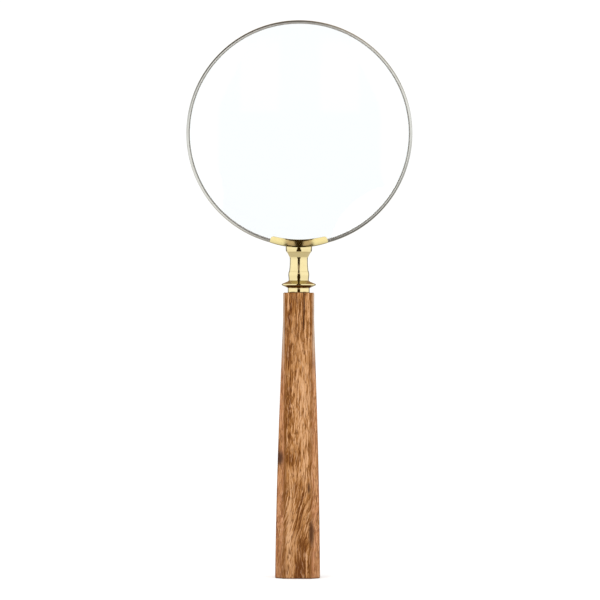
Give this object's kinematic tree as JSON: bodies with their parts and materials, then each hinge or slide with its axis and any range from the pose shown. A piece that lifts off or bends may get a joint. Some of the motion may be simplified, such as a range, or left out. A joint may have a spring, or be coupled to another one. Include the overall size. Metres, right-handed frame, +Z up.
{
  "type": "magnifying glass",
  "caption": "Round reading lens in a thin split brass rim, held by a brass saddle and a turned neck that screws into a square wooden handle widening to the butt.",
  "frame": {"origin": "centre of the square butt face, with the handle standing upright on it", "axes": "+Z up the handle towards the lens, X across the lens, Y along the optical axis with the viewer's side at -Y"},
  "size_m": [0.103, 0.0204, 0.2538],
  "materials": {
    "lens_glass": "polished clear",
    "packing_paper": "matte",
    "rim_brass": "pale rolled strip, polished",
    "tail_brass": "as sawn",
    "saddle_brass": "mirror polished",
    "turned_brass": "turned and polished",
    "screw_brass": "as cut",
    "handle_wood": "oiled, satin"
  },
  "bodies": {
    "handle": {"handle": "handle_wood", "threaded_insert": "screw_brass", "ferrule": "turned_brass"},
    "collar": {"flange": "turned_brass"},
    "head": {"neck": "turned_brass", "neck_stud": "screw_brass", "saddle": "saddle_brass", "rim": "rim_brass", "rim_tail_left": "tail_brass", "rim_tail_right": "tail_brass", "lens_packing": "packing_paper", "lens": "lens_glass"}
  },
  "joints": [
    {"name": "thread_rise", "type": "slide", "parent": "handle", "child": "collar", "axis": [0, 0, 1], "range_m": [0, 0.0115]},
    {"name": "head_turn", "type": "hinge", "parent": "collar", "child": "head", "pos_m": [0, 0, 0.1351], "axis": [0, 0, 1], "range_deg": [0, 5130]}
  ],
  "couplings": [
    {"joint": "thread_rise", "follows": "head_turn", "m_per_rad": 0.00012732}
  ]
}
